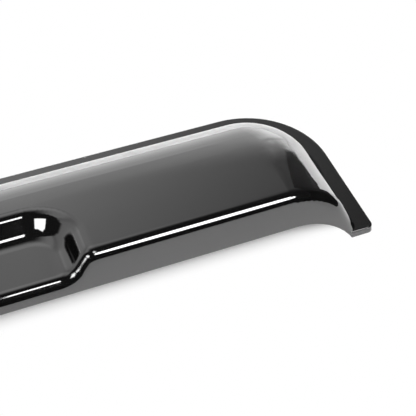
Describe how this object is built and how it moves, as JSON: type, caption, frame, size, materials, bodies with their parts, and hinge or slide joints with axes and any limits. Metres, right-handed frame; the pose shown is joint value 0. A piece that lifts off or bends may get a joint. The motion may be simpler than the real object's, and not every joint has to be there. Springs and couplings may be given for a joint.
{
  "type": "window rain deflector",
  "caption": "Long domed deflector moulded in one piece of gloss black plastic, with a flat bonding flange, a rounded front lip and a recess, that keeps rain off an open window.",
  "frame": {"origin": "Centre of the footprint, in the plane of the flange's flat underside, which is the face that lies on the window frame.", "axes": "+X runs along the length to the right end as seen from the front lip, +Y from the front lip to the flange's back edge, +Z out of the bonding face towards the blade."},
  "size_m": [0.4218, 0.0936, 0.0324],
  "materials": {
    "gloss_black": "gloss black moulded face with a satin flange"
  },
  "bodies": {
    "root": {"deflector": "gloss_black"}
  },
  "joints": []
}
